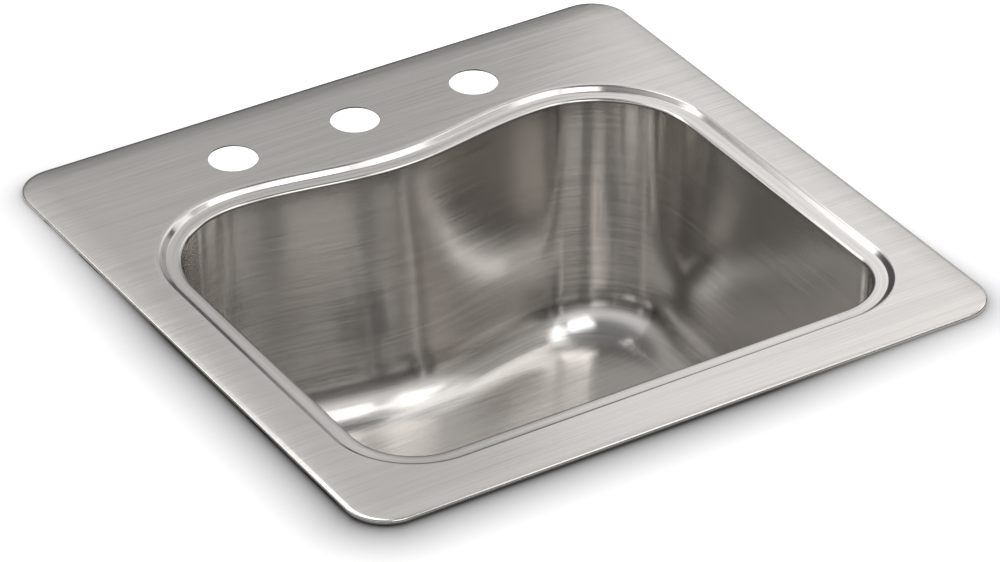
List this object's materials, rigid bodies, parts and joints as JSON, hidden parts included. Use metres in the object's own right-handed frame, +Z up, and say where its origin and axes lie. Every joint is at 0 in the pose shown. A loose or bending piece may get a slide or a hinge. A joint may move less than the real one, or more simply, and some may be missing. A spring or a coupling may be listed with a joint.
{
  "type": "sink",
  "caption": "Square top-mount stainless steel sink with a stepped ledge round a deep bowl whose back wall curves inwards, tap holes, basket strainer and fixing clips.",
  "frame": {"origin": "centre of the square rim, on the plane where the rim's edge rests on the worktop", "axes": "+Z up, +Y towards the tap holes, +X to the right of a person standing at the front"},
  "size_m": [0.508, 0.508, 0.4033],
  "materials": {
    "brushed_steel": "fine straight brushing",
    "rail_steel": "mill finish, spot welded",
    "zinc_plated": "bright zinc plate",
    "polished_steel": "polished",
    "brass": "cast, machined face",
    "black_rubber": "matt moulded",
    "sound_pad": "matt pressed pad",
    "fibre": "pressed fibre board",
    "white_nylon": "moulded"
  },
  "bodies": {
    "sink": {"sink_shell": "brushed_steel", "pad_right_wall": "sound_pad", "pad_back_wall": "sound_pad", "pad_left_wall": "sound_pad", "pad_front_wall": "sound_pad", "pad_floor_right": "sound_pad", "pad_floor_left": "sound_pad", "back_rail": "rail_steel", "left_rail": "rail_steel", "front_rail": "rail_steel", "right_rail": "rail_steel", "strainer_body": "polished_steel", "sealing_washer": "black_rubber", "friction_ring": "fibre", "locknut": "brass", "tailpiece_washer": "white_nylon", "coupling_nut": "brass", "tailpiece": "polished_steel"},
    "basket": {"basket_cup": "polished_steel", "basket_stopper": "black_rubber", "basket_post": "polished_steel"},
    "back_left_clip": {"back_left_clip": "zinc_plated"},
    "back_left_cleat": {"back_left_cleat": "zinc_plated"},
    "back_left_screw": {"back_left_screw": "zinc_plated"},
    "back_right_clip": {"back_right_clip": "zinc_plated"},
    "back_right_cleat": {"back_right_cleat": "zinc_plated"},
    "back_right_screw": {"back_right_screw": "zinc_plated"},
    "left_front_clip": {"left_front_clip": "zinc_plated"},
    "left_front_cleat": {"left_front_cleat": "zinc_plated"},
    "left_front_screw": {"left_front_screw": "zinc_plated"},
    "left_back_clip": {"left_back_clip": "zinc_plated"},
    "left_back_cleat": {"left_back_cleat": "zinc_plated"},
    "left_back_screw": {"left_back_screw": "zinc_plated"},
    "front_right_clip": {"front_right_clip": "zinc_plated"},
    "front_right_cleat": {"front_right_cleat": "zinc_plated"},
    "front_right_screw": {"front_right_screw": "zinc_plated"},
    "front_left_clip": {"front_left_clip": "zinc_plated"},
    "front_left_cleat": {"front_left_cleat": "zinc_plated"},
    "front_left_screw": {"front_left_screw": "zinc_plated"},
    "right_back_clip": {"right_back_clip": "zinc_plated"},
    "right_back_cleat": {"right_back_cleat": "zinc_plated"},
    "right_back_screw": {"right_back_screw": "zinc_plated"},
    "right_front_clip": {"right_front_clip": "zinc_plated"},
    "right_front_cleat": {"right_front_cleat": "zinc_plated"},
    "right_front_screw": {"right_front_screw": "zinc_plated"}
  },
  "joints": [
    {"name": "basket_lift", "type": "slide", "parent": "sink", "child": "basket", "axis": [0, 0, 1], "range_m": [0, 0.26]},
    {"name": "back_left_slide", "type": "slide", "parent": "sink", "child": "back_left_clip", "axis": [-1, 0, 0], "range_m": [-0.1, 0.025]},
    {"name": "back_left_grip", "type": "slide", "parent": "back_left_clip", "child": "back_left_cleat", "axis": [0, 0, 1], "range_m": [-0.01, 0.016]},
    {"name": "back_left_turn", "type": "hinge", "parent": "back_left_cleat", "child": "back_left_screw", "pos_m": [-0.165, 0.235, -0.05], "axis": [0, 0, 1], "range_deg": [-2840, 4540]},
    {"name": "back_right_slide", "type": "slide", "parent": "sink", "child": "back_right_clip", "axis": [1, 0, 0], "range_m": [-0.1, 0.025]},
    {"name": "back_right_grip", "type": "slide", "parent": "back_right_clip", "child": "back_right_cleat", "axis": [0, 0, 1], "range_m": [-0.01, 0.016]},
    {"name": "back_right_turn", "type": "hinge", "parent": "back_right_cleat", "child": "back_right_screw", "pos_m": [0.165, 0.235, -0.05], "axis": [0, 0, 1], "range_deg": [-2840, 4540]},
    {"name": "left_front_slide", "type": "slide", "parent": "sink", "child": "left_front_clip", "axis": [0, -1, 0], "range_m": [-0.1, 0.025]},
    {"name": "left_front_grip", "type": "slide", "parent": "left_front_clip", "child": "left_front_cleat", "axis": [0, 0, 1], "range_m": [-0.01, 0.016]},
    {"name": "left_front_turn", "type": "hinge", "parent": "left_front_cleat", "child": "left_front_screw", "pos_m": [-0.235, -0.165, -0.05], "axis": [0, 0, 1], "range_deg": [-2840, 4540]},
    {"name": "left_back_slide", "type": "slide", "parent": "sink", "child": "left_back_clip", "axis": [0, 1, 0], "range_m": [-0.1, 0.025]},
    {"name": "left_back_grip", "type": "slide", "parent": "left_back_clip", "child": "left_back_cleat", "axis": [0, 0, 1], "range_m": [-0.01, 0.016]},
    {"name": "left_back_turn", "type": "hinge", "parent": "left_back_cleat", "child": "left_back_screw", "pos_m": [-0.235, 0.165, -0.05], "axis": [0, 0, 1], "range_deg": [-2840, 4540]},
    {"name": "front_right_slide", "type": "slide", "parent": "sink", "child": "front_right_clip", "axis": [1, 0, 0], "range_m": [-0.1, 0.025]},
    {"name": "front_right_grip", "type": "slide", "parent": "front_right_clip", "child": "front_right_cleat", "axis": [0, 0, 1], "range_m": [-0.01, 0.016]},
    {"name": "front_right_turn", "type": "hinge", "parent": "front_right_cleat", "child": "front_right_screw", "pos_m": [0.165, -0.235, -0.05], "axis": [0, 0, 1], "range_deg": [-2840, 4540]},
    {"name": "front_left_slide", "type": "slide", "parent": "sink", "child": "front_left_clip", "axis": [-1, 0, 0], "range_m": [-0.1, 0.025]},
    {"name": "front_left_grip", "type": "slide", "parent": "front_left_clip", "child": "front_left_cleat", "axis": [0, 0, 1], "range_m": [-0.01, 0.016]},
    {"name": "front_left_turn", "type": "hinge", "parent": "front_left_cleat", "child": "front_left_screw", "pos_m": [-0.165, -0.235, -0.05], "axis": [0, 0, 1], "range_deg": [-2840, 4540]},
    {"name": "right_back_slide", "type": "slide", "parent": "sink", "child": "right_back_clip", "axis": [0, 1, 0], "range_m": [-0.1, 0.025]},
    {"name": "right_back_grip", "type": "slide", "parent": "right_back_clip", "child": "right_back_cleat", "axis": [0, 0, 1], "range_m": [-0.01, 0.016]},
    {"name": "right_back_turn", "type": "hinge", "parent": "right_back_cleat", "child": "right_back_screw", "pos_m": [0.235, 0.165, -0.05], "axis": [0, 0, 1], "range_deg": [-2840, 4540]},
    {"name": "right_front_slide", "type": "slide", "parent": "sink", "child": "right_front_clip", "axis": [0, -1, 0], "range_m": [-0.1, 0.025]},
    {"name": "right_front_grip", "type": "slide", "parent": "right_front_clip", "child": "right_front_cleat", "axis": [0, 0, 1], "range_m": [-0.01, 0.016]},
    {"name": "right_front_turn", "type": "hinge", "parent": "right_front_cleat", "child": "right_front_screw", "pos_m": [0.235, -0.165, -0.05], "axis": [0, 0, 1], "range_deg": [-2840, 4540]}
  ],
  "couplings": [
    {"joint": "back_left_turn", "follows": "back_left_grip", "rad_per_m": 4947.4},
    {"joint": "back_right_turn", "follows": "back_right_grip", "rad_per_m": 4947.4},
    {"joint": "left_front_turn", "follows": "left_front_grip", "rad_per_m": 4947.4},
    {"joint": "left_back_turn", "follows": "left_back_grip", "rad_per_m": 4947.4},
    {"joint": "front_right_turn", "follows": "front_right_grip", "rad_per_m": 4947.4},
    {"joint": "front_left_turn", "follows": "front_left_grip", "rad_per_m": 4947.4},
    {"joint": "right_back_turn", "follows": "right_back_grip", "rad_per_m": 4947.4},
    {"joint": "right_front_turn", "follows": "right_front_grip", "rad_per_m": 4947.4}
  ]
}
